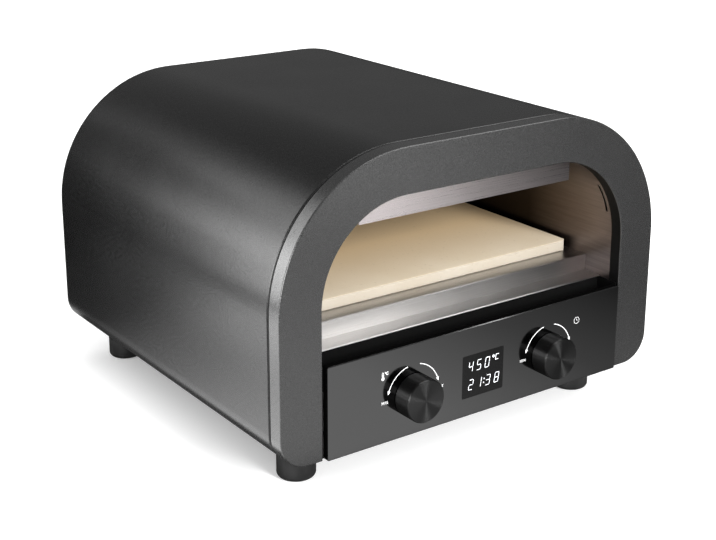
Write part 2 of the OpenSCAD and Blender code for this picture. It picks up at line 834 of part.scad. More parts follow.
module pizza_stone() color(stone_cream) placed() intersection() {
    y1 = stone_y + stone_l;
    z1 = bed_z + stone_t;
    translate([0, 0, bed_z]) linear_extrude(stone_t) rounded(-stone_x, stone_x, stone_y, y1, stone_r);
    beam(-stone_x, stone_x) rounded(stone_y, y1, bed_z, z1, stone_edge);
    slab(stone_y, y1) rounded(-stone_x, stone_x, bed_z, z1, stone_edge);
}

module cavity_liner() color(steel) placed() difference() {
    union() {
        slab(liner_y, chamber_back) difference() {
            arch(frame_w - liner_t, liner_z);
            arch(frame_w, liner_z - over);
        }
        for (y = [liner_y, chamber_back - liner_t]) slab(y, y + liner_t) difference() {
            arch(frame_w - liner_flange, liner_z);
            arch(frame_w - liner_t / 2, liner_z - over);
        }
        for (s = [-1, 1]) translate([s * (mouth_x + liner_flange / 2), 0, liner_z])
            box(-liner_flange / 2, liner_flange / 2, liner_y, chamber_back, 0, liner_t);
    }
    // A curved slit in each shoulder, just behind the mouth
    slab(liner_y + slit_front, liner_y + slit_front + slit_w) for (s = [-1, 1])
        translate([s * (body_x - top_r), body_h - top_r]) intersection() {
            difference() {
                circle(top_r - frame_w + 2 * liner_t);
                circle(top_r - frame_w - 2 * liner_t);
            }
            polygon([
                [0, 0], [s * top_r * cos(slit_low), top_r * sin(slit_low)],
                [s * top_r * cos(slit_high), top_r * sin(slit_high)]
            ]);
        }
}

module heater_ends(z) for (s = [-1, 1]) at([s * heater_end_x, z]) children();

module cavity_back() color(steel) placed() difference() {
    slab(chamber_back, chamber_back + liner_t) arch(frame_w - liner_flange, recess_z - liner_t);
    for (z = [lower_z, upper_z]) heater_ends(z)
        rod(chamber_back - over, chamber_back + liner_t + over, heater_r + fit);
    at([0, probe_z]) rod(chamber_back - over, chamber_back + liner_t + over, probe_d / 2 + fit);
}

module heat_baffle() color(steel) placed() {
    slab(baffle_y, baffle_y + liner_t) intersection() {
        rect(-baffle_w / 2, baffle_w / 2, mouth_top - baffle_drop, mouth_top);
        arch(frame_w, 0);
    }
    box(top_r - body_x, body_x - top_r, baffle_y, baffle_y + baffle_foot,
        mouth_top - liner_t, mouth_top);
}

// ---------------------------------------------------------------- heaters

// Parallel runs joined by bends at the front and the back, with both ends through the back wall.
// y0 and y1 are how far the bends' centre line reaches to the front and to the back.
module heater(z, y0, y1) translate([0, 0, z]) {
    r = heater_pitch / 2;
    last = heater_runs - 1;
    for (i = [0 : last]) translate([i * heater_pitch - heater_end_x, 0, 0])
        rod(y0 + r, i == 0 || i == last ? chamber_back + heater_tail : y1 - r, heater_r);
    for (i = [0 : 2 : last - 1]) translate([i * heater_pitch - heater_end_x + r, y0 + r, 0])
        mirror([0, 1, 0]) heater_bend(r);
    for (i = [1 : 2 : last - 2]) translate([i * heater_pitch - heater_end_x + r, y1 - r, 0])
        heater_bend(r);
}

module heater_bend(r) rotate_extrude(angle = 180) translate([r, 0]) circle(heater_r);

module upper_heater() color(heater_grey) placed()
    heater(upper_z, baffle_y + upper_front, chamber_back - upper_back);

module lower_heater() color(heater_grey) placed()
    heater(lower_z, tray_y + rim_w + lower_gap, chamber_back - rim_w - lower_gap);

// Hexagon fittings, ceramic ends and tab terminals behind the chamber
module heater_fittings() color(zinc) placed() for (z = [lower_z, upper_z]) heater_ends(z) {
    y = chamber_back + liner_t;
    translate([0, y + bush_t, 0]) rotate([90, 0, 0]) difference() {
        hexagon(bush_af, bush_t);
        translate([0, 0, -over]) cylinder(r = heater_r, h = bush_t + 2 * over);
    }
    end_y = chamber_back + heater_tail + ceramic_l;
    rod(end_y - ceramic_l, end_y, heater_r);
    translate([-tab_w / 2, end_y, -tab_t / 2]) cube([tab_w, tab_l, tab_t]);
}

// A strap from a heater run to the wall it hangs on or stands on
hanger_y = [tray_y + rim_w + hanger_front, chamber_back - rim_w - hanger_rear];

module hanger(z, wall_z) for (s = [-1, 1], y = hanger_y)
    translate([s * heater_pitch / 2, y, 0]) {
        translate([0, -hanger_w / 2, z]) difference() {
            rod(0, hanger_w, heater_r + liner_t);
            rod(-over, hanger_w + over, heater_r);
        }
        z0 = min(z + heater_r, wall_z);
        z1 = max(z - heater_r, wall_z);
        box(-liner_t / 2, liner_t / 2, -hanger_w / 2, hanger_w / 2, z0, z1);
        translate([0, 0, wall_z > z ? wall_z - liner_t / 2 : wall_z + liner_t / 2])
            cube([hanger_foot, hanger_w, liner_t], center = true);
    }

module upper_hangers() color(steel) placed() hanger(upper_z, mouth_top);
module lower_hangers() color(steel) placed() hanger(lower_z, recess_z);

probe_z = (bed_z + stone_t + mouth_top) / 2;

module temperature_probe() color(steel) placed() at([0, probe_z]) {
    rod(chamber_back - probe_l, chamber_back + heater_tail + probe_tail, probe_d / 2);
    translate([0, chamber_back + liner_t + bush_t, 0]) rotate([90, 0, 0]) hexagon(bush_af, bush_t);
}

// ---------------------------------------------------------------- insulation and compartment

module insulation_blanket() color(wool_white) placed()
    slab(shell_y + sheet_t + head_t + blanket_front, chamber_back - liner_t) difference() {
        arch(frame_w - liner_t - blanket_t, ledge_z);
        arch(frame_w - liner_t, ledge_z - over);
    }

module insulation_back() color(wool_white) placed() difference() {
    slab(chamber_back + liner_t, back_y - sheet_t) arch(frame_w - back_wool_gap, ledge_z);
    for (z = [lower_z, upper_z]) heater_ends(z)
        rod(chamber_back, back_y + over, bush_af / sqrt(3) + fit);
    at([0, probe_z]) rod(chamber_back, back_y + over, bush_af / sqrt(3) + fit);
}

module insulation_floor() color(wool_white) placed()
    box(floor_wool_side - mouth_x, mouth_x - floor_wool_side, channel_back + floor_wool_front,
        chamber_back, shield_z + sheet_t, recess_z - liner_t);

module heat_shield() color(zinc) placed() {
    x = body_x - sheet_t;
    y0 = channel_back + liner_t + fit;
    y1 = back_y - sheet_t - fit;
    box(-x, x, y0, y1, shield_z, shield_z + sheet_t);
    for (s = [-1, 1]) translate([s * (x - sheet_t / 2), 0, 0])
        box(-sheet_t / 2, sheet_t / 2, y0, y1, shield_z, shield_z + shield_flange);
}

module side_rails() color(zinc) placed() for (s = [-1, 1]) scale([s, 1, 1])
    slab(channel_back + rail_front, chamber_back) difference() {
        rect(mouth_x + liner_t, mouth_x + liner_flange, shield_z + sheet_t, liner_z);
        rect(mouth_x + 2 * liner_t, mouth_x + liner_flange + over,
            shield_z + sheet_t + liner_t, liner_z - liner_t);
    }

// Relays, transformer, capacitors, a finned heat sink and a fuse holder on their board
module power_board() color([0.16, 0.30, 0.18]) placed() translate([power_x, power_y, power_z]) {
    sink_y = power_l - sink_back - fin_l;
    cube([power_w, power_l, board_t]);
    translate([0, 0, board_t]) {
        for (i = [0, 1]) block([relay_place[0], relay_place[1] + relay_pitch * i], relay);
        block(transformer_place, transformer);
        for (i = [0 : 2]) translate([0, smoother_pitch * i, 0]) translate(smoother_place)
            cylinder(r = smoother_r, h = smoother_h);
        block([sink_x, sink_y - sink_t], [sink_w, sink_t, sink_h]);
        for (i = [0 : fin_gaps])
            block([sink_x + i * (sink_w - fin_t) / fin_gaps, sink_y], [fin_t, fin_l, sink_h]);
        block([power_w - fuse_side, fuse_y], fuse_holder);
    }
}

module board_standoffs() color(zinc) placed()
    for (x = [standoff_inset, power_w - standoff_inset], y = [standoff_inset, power_l - standoff_inset])
        translate([power_x + x, power_y + y, 2 * sheet_t]) cylinder(r = standoff_r, h = standoff_h);

module terminal_block() color(plastic_white) placed() translate([block_x, block_y, 2 * sheet_t])
    difference() {
        cube([block_w, block_d, block_h]);
        for (i = [0 : poles - 1]) translate([pole_margin + pole_pitch * i, 0, 0]) {
            translate([0, block_d / 2, wire_z]) cylinder(r = well_r, h = block_h);
            translate([0, 0, wire_z]) rod(-over, block_d + over, wire_r);
        }
    }

module thermal_cutout() color(black) placed()
    translate([cutout_place[0], cutout_place[1], shield_z - cutout_h]) {
        cylinder(r = cutout_r, h = cutout_h);
        translate([0, 0, cutout_h - cutout_ear_t]) linear_extrude(cutout_ear_t) slot(cutout_ear_w, cutout_h);
        for (s = [-1, 1]) translate([s * cutout_r / 2, 0, -tab_l / 2])
            cube([tab_t, tab_w, tab_l], center = true);
    }

// ---------------------------------------------------------------- back

module cover_shape(inset) intersection() {
    outline(cover_inset + inset);
    rect(-body_x, body_x, cover_z + inset, body_h);
}

module rear_panel() color(zinc) placed() difference() {
    slab(back_y, panel_out_y) outline(sheet_t + 1);
    for (p = concat(rear_places, base_places))
        at(p) rod(back_y - over, panel_out_y + over, screw_r + hole_play);
    for (p = cover_places) at(p) rod(back_y - over, panel_out_y + over, screw_r);
    // Windows for the heater ends and the probe
    for (z = [lower_z, upper_z]) heater_ends(z)
        rod(back_y - over, panel_out_y + over, bush_af / 2 + window_play);
    at([0, probe_z]) rod(back_y - over, panel_out_y + over, bush_af / 2 + window_play);
    at([gland_x, gland_z]) rod(back_y - over, panel_out_y + over, gland_bore / 2 + gland_wall);
    // Cooling slots of the lower compartment
    slab(back_y - over, panel_out_y + over) for (i = [0 : rear_vents - 1])
        translate([rear_vent_x + rear_vent_pitch * i, rear_vent_z]) rotate(90) slot(rear_vent_l, vent_w);
}

module rear_cover() color(paint_dark) placed() difference() {
    y1 = panel_out_y + cover_d;
    union() {
        slab(panel_out_y, y1) difference() {
            cover_shape(0);
            cover_shape(sheet_t);
        }
        slab(y1 - sheet_t, y1) cover_shape(0);
        slab(panel_out_y, panel_out_y + sheet_t) difference() {
            cover_shape(-cover_lip);
            cover_shape(sheet_t / 2);
        }
    }
    for (p = cover_places) at(p) rod(panel_out_y - over, panel_out_y + 2 * sheet_t, screw_r + hole_play);
    slab(y1 - 2 * sheet_t, y1 + over) for (s = [-1, 1], i = [0 : cover_vents - 1])
        translate([s * cover_vent_x, cover_z + cover_vent_lift + cover_vent_pitch * i])
            slot(cover_vent_l, cover_vent_w);
}

module cable_gland() color(black) placed() at([gland_x, gland_z]) difference() {
    r = gland_bore / 2;
    nose_y = panel_out_y + gland_t;
    union() {
        rod(back_y - gland_reach, nose_y, r + gland_wall - fit);
        translate([0, nose_y, 0]) rotate([90, 0, 0]) hexagon(gland_af, gland_t);
        translate([0, nose_y, 0]) rotate([-90, 0, 0])
            cylinder(r1 = r + gland_wall + gland_shoulder, r2 = r + gland_wall, h = gland_nose);
        translate([0, back_y, 0]) rotate([90, 0, 0]) hexagon(gland_nut_af, gland_nut_t);
    }
    rod(back_y - gland_reach - over, nose_y + gland_nose + over, r);
}

module rear_screws() color(zinc) placed() for (p = concat(rear_places, base_places))
    at(p) translate([0, panel_out_y, 0]) mirror([0, 1, 0]) screw(sheet_t + rear_screw_reach);

module cover_screws() color(zinc) placed() for (p = cover_places)
    at(p) translate([0, panel_out_y + sheet_t, 0]) mirror([0, 1, 0]) screw(sheet_t + cover_screw_reach);

// ---------------------------------------------------------------- pieces

outer_shell();
front_bezel();
bezel_screws();
seam_gasket();
mouth_ring();
control_panel();
panel_carrier();
display_window();
display_module();
control_board();
board_screws();
encoder_left();
encoder_right();
encoder_nuts();
shaft_left();
shaft_right();
knob_left();
knob_right();
knob_cap_left();
knob_cap_right();
front_channel();
front_sill();
stone_tray();
cavity_liner();
cavity_back();
heat_baffle();
upper_heater();
lower_heater();
heater_fittings();
upper_hangers();
lower_hangers();
temperature_probe();
pizza_stone();
insulation_blanket();
insulation_back();
insulation_floor();
heat_shield();
side_rails();
base_plate();
foot_front_left();
foot_front_right();
foot_rear_left();
foot_rear_right();
foot_fasteners();
power_board();
board_standoffs();
terminal_block();
thermal_cutout();
cable_gland();
rear_panel();
rear_cover();
rear_screws();
cover_screws();
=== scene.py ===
"""Dresses the electric pizza maker: finishes, printed signs, display digits, studio."""

import math

import bmesh
import bpy
from mathutils import Matrix, Vector


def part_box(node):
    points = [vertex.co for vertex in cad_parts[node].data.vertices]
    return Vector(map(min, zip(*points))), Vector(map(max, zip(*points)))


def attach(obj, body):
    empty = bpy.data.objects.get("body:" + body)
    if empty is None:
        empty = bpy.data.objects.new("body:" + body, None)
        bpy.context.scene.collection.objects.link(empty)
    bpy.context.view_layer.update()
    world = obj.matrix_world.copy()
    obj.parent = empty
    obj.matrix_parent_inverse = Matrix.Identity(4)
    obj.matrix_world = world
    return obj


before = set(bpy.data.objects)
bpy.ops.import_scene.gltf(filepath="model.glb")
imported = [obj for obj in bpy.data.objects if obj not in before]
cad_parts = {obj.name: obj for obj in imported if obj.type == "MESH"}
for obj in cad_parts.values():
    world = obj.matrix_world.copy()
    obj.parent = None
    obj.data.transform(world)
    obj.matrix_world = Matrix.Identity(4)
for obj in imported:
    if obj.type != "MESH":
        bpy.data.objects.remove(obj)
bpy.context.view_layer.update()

MM = 0.001
OVEN = "oven"


# ---------------------------------------------------------------- camera

CAMERA_PLACE = (-0.7112, -1.01095, 0.5435)
CAMERA_AZIMUTH = -35.61
CAMERA_ELEVATION = 16.62
CAMERA_ROLL = 0.11
CAMERA_LENS = 69.49
CAMERA_SENSOR = 36
CAMERA_SHIFT = -0.10


def make_camera():
    data = bpy.data.cameras.new("camera")
    data.sensor_width = CAMERA_SENSOR
    data.lens = CAMERA_LENS
    data.shift_y = CAMERA_SHIFT
    data.clip_start = 0.05
    data.clip_end = 50
    camera = bpy.data.objects.new("camera", data)
    bpy.context.scene.collection.objects.link(camera)
    camera.matrix_world = (
        Matrix.Translation(CAMERA_PLACE)
        @ Matrix.Rotation(math.radians(CAMERA_AZIMUTH), 4, "Z")
        @ Matrix.Rotation(math.radians(90 - CAMERA_ELEVATION), 4, "X")
        @ Matrix.Rotation(math.radians(CAMERA_ROLL), 4, "Z")
    )
    bpy.context.scene.camera = camera


# ---------------------------------------------------------------- material helpers


# Sockets of the Mix node for colours
MIX_FACTOR, MIX_FIRST, MIX_SECOND = 0, 6, 7
MIX_RESULT = 2

# Most values of a noise lie between these
NOISE_BAND = (0.3, 0.7)


class Finish:
    """One procedural material: a principled shader and short calls for the nodes round it."""

    def __init__(self, name, **values):
        self.material = bpy.data.materials.new(name)
        self.material.use_nodes = True
        self.tree = self.material.node_tree
        self.shader = self.tree.nodes["Principled BSDF"]
        for socket, value in values.items():
            self.shader.inputs[socket.replace("_", " ")].default_value = value

    def node(self, kind, settings=None, **inputs):
        made = self.tree.nodes.new("ShaderNode" + kind)
        for key, value in (settings or {}).items():
            setattr(made, key, value)
        for socket, value in inputs.items():
            self.feed(made.inputs[socket.replace("_", " ")], value)
        return made

    def feed(self, socket, value):
        if isinstance(value, bpy.types.NodeSocket):
            self.tree.links.new(value, socket)
        else:
            socket.default_value = value

    def place(self, stretch=(1, 1, 1)):
        """The point on the piece in metres, stretched along the axes."""
        coordinates = self.node("TexCoord")
        mapping = self.node("Mapping", Vector=coordinates.outputs["Object"], Scale=stretch)
        return mapping.outputs["Vector"]

    def noise(self, scale, detail, stretch=(1, 1, 1), roughness=0.5):
        texture = self.node(
            "TexNoise", Vector=self.place(stretch), Scale=scale, Detail=detail, Roughness=roughness
        )
        return texture.outputs["Fac"]

    def beyond(self, axis, edge, width):
        """0 before a place along an axis and 1 past it, in metres."""
        split = self.node("SeparateXYZ", Vector=self.place())
        return self.spread(split.outputs[axis], 0, 1, edge, edge + width)

    def flakes(self, scale):
        """A random grey value for each cell of a fine grain."""
        texture = self.node("TexVoronoi", Vector=self.place(), Scale=scale)
        split = self.node("SeparateColor", Color=texture.outputs["Color"])
        return split.outputs["Red"]

    def spread(self, value, low, high, start=0.0, end=1.0):
        """Maps start..end of a value to low..high."""
        mapped = self.node(
            "MapRange", Value=value, From_Min=start, From_Max=end, To_Min=low, To_Max=high
        )
        return mapped.outputs["Result"]

    def around(self, noise, middle, reach):
        """Maps a noise to the values round a middle, as far as reach."""
        return self.spread(noise, middle - reach, middle + reach, *NOISE_BAND)

    def blend(self, factor, first, second, kind="MIX"):
        mixed = self.node("Mix", {"data_type": "RGBA", "blend_type": kind})
        self.feed(mixed.inputs[MIX_FACTOR], factor)
        self.feed(mixed.inputs[MIX_FIRST], first)
        self.feed(mixed.inputs[MIX_SECOND], second)
        return mixed.outputs[MIX_RESULT]

    def math(self, operation, first, second=0.0):
        made = self.node("Math", {"operation": operation})
        self.feed(made.inputs[0], first)
        self.feed(made.inputs[1], second)
        return made.outputs[0]

    def vector_math(self, operation, first, second=(0, 0, 0)):
        made = self.node("VectorMath", {"operation": operation})
        self.feed(made.inputs[0], first)
        self.feed(made.inputs[1], second)
        return made.outputs["Value" if operation == "LENGTH" else "Vector"]

    def bump(self, height, depth, normal=None):
        made = self.node("Bump", Height=height, Distance=depth)
        if normal is not None:
            self.feed(made.inputs["Normal"], normal)
        return made.outputs["Normal"]

    def shade(self, **inputs):
        for socket, value in inputs.items():
            self.feed(self.shader.inputs[socket.replace("_", " ")], value)
        return self


def grey(value):
    return (value, value, value, 1.0)


# ---------------------------------------------------------------- finishes

# A quarter turn from the tangent, so that the highlight spreads across the brush lines
ACROSS_THE_LINES = 0.25

# Stretches of the noise that draw the brush lines out along one axis
ALONG_X = (14, 2600, 2600)
ALONG_Y = (400, 14, 400)

# Scale and detail of the dust on smooth finishes, and how much it lightens a plastic
DUST = (900, 4)
DUST_LIFT = 1.35

# Metal is a blend of two tones. Baked steel is browned by heat, and darkens further into the chamber
# to a near-black painted shade, where less light reaches
STEEL_DARK = (0.50, 0.485, 0.475, 1)
STEEL_LIGHT = (0.70, 0.685, 0.67, 1)
BAKED_DARK = (0.15, 0.125, 0.12, 1)
BAKED_LIGHT = (0.28, 0.235, 0.225, 1)
PINK_DARK = (0.44, 0.40, 0.40, 1)
PINK_LIGHT = (0.60, 0.55, 0.55, 1)
CHAMBER_PAINTED_SHADE = (0.03, 0.024, 0.02, 1)
CHAMBER_SHADE_START_Y = -0.165
CHAMBER_SHADE_REACH = 0.09

# The stone is cream at its front, with painted shade that goes brown further back, and its sides are
# painted darker than its top as painted shade
STONE_PALE = ((0.84, 0.73, 0.56, 1), (0.88, 0.78, 0.62, 1))
STONE_PAINTED_SHADE = (0.82, 0.60, 0.35, 1)
STONE_SPECK = (0.55, 0.42, 0.26, 1)
STONE_GRAIN = (0.93, 0.86, 0.70, 1)
STONE_SIDE_SHADE = (0.45, 0.465, 0.50, 1)
STONE_FRONT_Y = -0.15
STONE_SHADE_REACH = 0.11


def metal_flake_paint(name, dark, light, metallic, roughness, coat):
    """Satin paint with fine metal flakes under a thin clear coat."""
    paint = Finish(
        name, Metallic=metallic, Coat_Weight=coat, Coat_Roughness=0.32, Specular_IOR_Level=0.4
    )
    flake = paint.flakes(2600)
    cloud = paint.noise(14, 4)
    tone = paint.blend(paint.spread(flake, 0, 1, 0.1, 0.95), grey(dark), grey(light))
    orange_peel = paint.bump(paint.noise(700, 2), 0.02 * MM)
    grain = paint.bump(flake, 0.015 * MM, orange_peel)
    rough = paint.math("ADD", paint.spread(flake, -0.05, 0.05), paint.around(cloud, roughness, 0.02))
    return paint.shade(Base_Color=tone, Roughness=rough, Normal=grain).material


def brushed_metal(name, dark, light, roughness, lines, anisotropy=0.0, inner_shade=None):
    """Metal with fine brush lines, drawn out by lines. When a shade tone is given, it darkens to that
    painted shade further in along Y.
    """
    steel = Finish(
        name, Metallic=1.0, Anisotropic=anisotropy, Anisotropic_Rotation=ACROSS_THE_LINES
    )
    fine = steel.noise(1.0, 4, lines, 0.7)
    broad = steel.noise(9, 3)
    streak = steel.spread(fine, 0, 0.7, *NOISE_BAND)
    cloud = steel.spread(broad, 0, 0.3, *NOISE_BAND)
    tone = steel.blend(steel.math("ADD", streak, cloud), dark, light)
    # painted shade: the tone darkens further into the chamber, as if less light reached there
    if inner_shade is not None:
        tone = steel.blend(steel.beyond("Y", CHAMBER_SHADE_START_Y, CHAMBER_SHADE_REACH), tone, inner_shade)
    steel.shade(
        Base_Color=tone,
        Roughness=steel.around(fine, roughness, 0.05),
        Normal=steel.bump(fine, 0.006 * MM),
    )
    if anisotropy:
        steel.shade(Tangent=steel.node("CombineXYZ", X=1.0).outputs["Vector"])
    return steel.material


def turned_metal(name, node, dark, light, roughness, anisotropy):
    """Metal turned on a lathe, with fine rings round the axis of that node."""
    low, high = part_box(node)
    turned = Finish(
        name, Metallic=1.0, Anisotropic=anisotropy, Anisotropic_Rotation=ACROSS_THE_LINES
    )
    place = turned.node("TexCoord").outputs["Object"]
    offset = turned.vector_math("SUBTRACT", place, (low + high) / 2)
    radius = turned.vector_math("LENGTH", turned.vector_math("MULTIPLY", offset, (1, 0, 1)))
    along = turned.node("SeparateXYZ", Vector=offset).outputs["Y"]
    path = turned.math("ADD", radius, along)
    rings = turned.node("TexNoise", {"noise_dimensions": "1D"}, W=path, Scale=9000, Detail=2)
    fine = rings.outputs["Fac"]
    tangent = turned.node("Tangent", {"direction_type": "RADIAL", "axis": "Y"})
    return turned.shade(
        Base_Color=turned.blend(turned.spread(fine, 0, 1, *NOISE_BAND), grey(dark), grey(light)),
        Roughness=turned.around(fine, roughness, 0.04),
        Normal=turned.bump(fine, 0.003 * MM),
        Tangent=tangent.outputs["Tangent"],
    ).material


def dark_mirror(name, tone, roughness, node, bevel):
    """Dark polished metal with a clear reflection. Its edges behind the front bevel are matt black."""
    plate = Finish(name, Specular_IOR_Level=0.0)
    face_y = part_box(node)[0].y
    edge = plate.beyond("Y", face_y + bevel, 0.1 * MM)
    face_rough = plate.around(plate.noise(*DUST), roughness, 0.02)
    return plate.shade(
        Base_Color=plate.blend(edge, grey(tone), grey(0.002)),
        Metallic=plate.spread(edge, 1, 0),
        Roughness=plate.math("ADD", face_rough, plate.spread(edge, 0, 0.85)),
    ).material


def gloss_plastic(name, tone, roughness, specular=0.5):
    """Moulded plastic with a faint waviness."""
    plastic = Finish(name, Specular_IOR_Level=specular)
    wave = plastic.noise(160, 2)
    dust = plastic.noise(*DUST)
    speck = plastic.spread(dust, 0, 1, 0.4, 0.8)
    return plastic.shade(
        Base_Color=plastic.blend(speck, grey(tone), grey(tone * DUST_LIFT)),
        Roughness=plastic.spread(dust, roughness * 0.85, roughness * 1.2, *NOISE_BAND),
        Normal=plastic.bump(wave, 0.012 * MM),
    ).material


def rubber():
    """Moulded black rubber, matt and slightly dusty."""
    made = Finish("foot_rubber", Specular_IOR_Level=0.35)
    fine = made.noise(2400, 3)
    dust = made.noise(60, 4)
    return made.shade(
        Base_Color=made.blend(made.spread(dust, 0, 1, 0.35, 0.75), grey(0.010), grey(0.022)),
        Roughness=made.spread(dust, 0.42, 0.6, *NOISE_BAND),
        Normal=made.bump(fine, 0.02 * MM),
    ).material


def baking_stone():
    """Cordierite: cream, matt, finely grained, with a few darker and paler grains, and painted shade
    towards its back and on its sides.
    """
    made = Finish("baking_stone", Specular_IOR_Level=0.25)
    cloud = made.noise(22, 5)
    grain = made.noise(1500, 4, roughness=0.7)
    speck = made.flakes(700)
    pale = made.blend(made.spread(cloud, 0, 1, 0.35, 0.65), *STONE_PALE)
    # painted shade: the top goes brown further back, where the arch shades it
    body = made.blend(made.beyond("Y", STONE_FRONT_Y, STONE_SHADE_REACH), pale, STONE_PAINTED_SHADE)
    dotted = made.blend(made.spread(speck, 0, 0.3, 0.975, 1), body, STONE_SPECK)
    fine = made.blend(made.spread(grain, 0, 0.3, 0.5, 0.9), dotted, STONE_GRAIN)
    # painted shade: faces that are not flat are multiplied darker than the top
    upright = made.node("SeparateXYZ", Vector=made.node("NewGeometry").outputs["Normal"])
    flat = made.spread(made.math("ABSOLUTE", upright.outputs["Z"]), 0, 1, 0.8, 0.98)
    side = made.blend(1.0, fine, STONE_SIDE_SHADE, "MULTIPLY")
    return made.shade(
        Base_Color=made.blend(flat, side, fine),
        Roughness=made.spread(grain, 0.75, 0.95, *NOISE_BAND),
        Normal=made.bump(grain, 0.06 * MM),
    ).material


def wool():
    """White ceramic wool."""
    made = Finish("wool", Specular_IOR_Level=0.2)
    tuft = made.noise(240, 6, roughness=0.7)
    return made.shade(
        Base_Color=made.blend(tuft, (0.62, 0.60, 0.54, 1), (0.86, 0.85, 0.80, 1)),
        Roughness=made.spread(tuft, 0.85, 1.0),
        Normal=made.bump(tuft, 0.8 * MM),
    ).material


def circuit_board():
    """Green solder mask with faint tracks."""
    made = Finish("circuit_board", Specular_IOR_Level=0.5)
    track = made.node("TexBrick", Vector=made.place(), Scale=120).outputs["Fac"]
    return made.shade(
        Base_Color=made.blend(track, (0.012, 0.10, 0.035, 1), (0.03, 0.19, 0.07, 1)),
        Roughness=made.spread(track, 0.3, 0.45),
        Normal=made.bump(track, 0.02 * MM),
    ).material


def white_print():
    """White screen-printed ink."""
    made = Finish("white_print", Specular_IOR_Level=0.4)
    speck = made.noise(3000, 2)
    return made.shade(
        Base_Color=made.blend(made.spread(speck, 0, 1, *NOISE_BAND), grey(0.72), grey(0.90)),
        Roughness=made.spread(speck, 0.4, 0.6, *NOISE_BAND),
    ).material


def lit_digit():
    """A lit bar of a digit."""
    made = Finish("lit_digit", Emission_Strength=0.42)
    glow = made.noise(900, 2)
    tone = made.blend(made.spread(glow, 0, 1, *NOISE_BAND), (0.86, 0.90, 0.98, 1), (1, 1, 1, 1))
    return made.shade(Base_Color=tone, Emission_Color=tone).material


def knob_side(side):
    return turned_metal(
        "knob_metal_" + side, "knob_" + side, dark=0.035, light=0.05, roughness=0.42, anisotropy=0.97
    )


def knob_face(side):
    return turned_metal(
        "knob_cap_metal_" + side, "knob_cap_" + side,
        dark=0.045, light=0.07, roughness=0.4, anisotropy=0.98,
    )


def finishes():
    """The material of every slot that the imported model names."""
    return {
        "shell_paint": metal_flake_paint(
            "shell_paint", dark=0.032, light=0.048, metallic=0.9, roughness=0.27, coat=0.1
        ),
        "bezel_paint": metal_flake_paint(
            "bezel_paint", dark=0.066, light=0.090, metallic=0.8, roughness=0.25, coat=0.1
        ),
        "panel_gloss": dark_mirror(
            "dark_panel", tone=0.12, roughness=0.09, node="control_panel", bevel=1.1 * MM
        ),
        "display_black": gloss_plastic("window_black", tone=0.003, roughness=0.06, specular=0.2),
        "knob_black": knob_side("left"),
        "knob_cap": knob_face("left"),
        "mouth_black": gloss_plastic("mouth_enamel", tone=0.003, roughness=0.55, specular=0.15),
        "stainless": brushed_metal(
            "stainless", STEEL_DARK, STEEL_LIGHT, roughness=0.32, lines=ALONG_X, anisotropy=0.9
        ),
        "zinc_steel": brushed_metal(
            "zinc_steel", grey(0.40), grey(0.58), roughness=0.38, lines=(60, 60, 60)
        ),
        "heater_sheath": brushed_metal(
            "heater_sheath", grey(0.10), grey(0.22), roughness=0.5, lines=(300, 60, 300)
        ),
        "stone": baking_stone(),
        "wool": wool(),
        "rubber": rubber(),
        "board": circuit_board(),
        "black_plastic": gloss_plastic("black_nylon", tone=0.012, roughness=0.45),
        "white_plastic": gloss_plastic("white_nylon", tone=0.55, roughness=0.4),
    }


def dress_nodes(made):
    """Gives every slot of every node its finish, and each knob its own, as the rings are centred."""
    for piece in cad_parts.values():
        for slot in piece.material_slots:
            slot.material = made[slot.material.name.split(".")[0]]
    # The chamber's baked steel darkens to a painted shade further in
    baked = brushed_metal(
        "baked_steel", BAKED_DARK, BAKED_LIGHT, roughness=0.34, lines=ALONG_Y, inner_shade=CHAMBER_PAINTED_SHADE
    )
    baffle = brushed_metal(
        "baffle_steel", PINK_DARK, PINK_LIGHT, roughness=0.3, lines=ALONG_X, anisotropy=0.85
    )
    for name, finish in (
        ("cavity_liner", baked),
        ("cavity_back", baked),
        ("heat_baffle", baffle),
        ("knob_right", knob_side("right")),
        ("knob_cap_right", knob_face("right")),
    ):
        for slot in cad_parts[name].material_slots:
            slot.material = finish


# ---------------------------------------------------------------- printed signs and digits


# A mitred corner reaches out by half the line's width over this at most
MITRE_LIMIT = 0.35


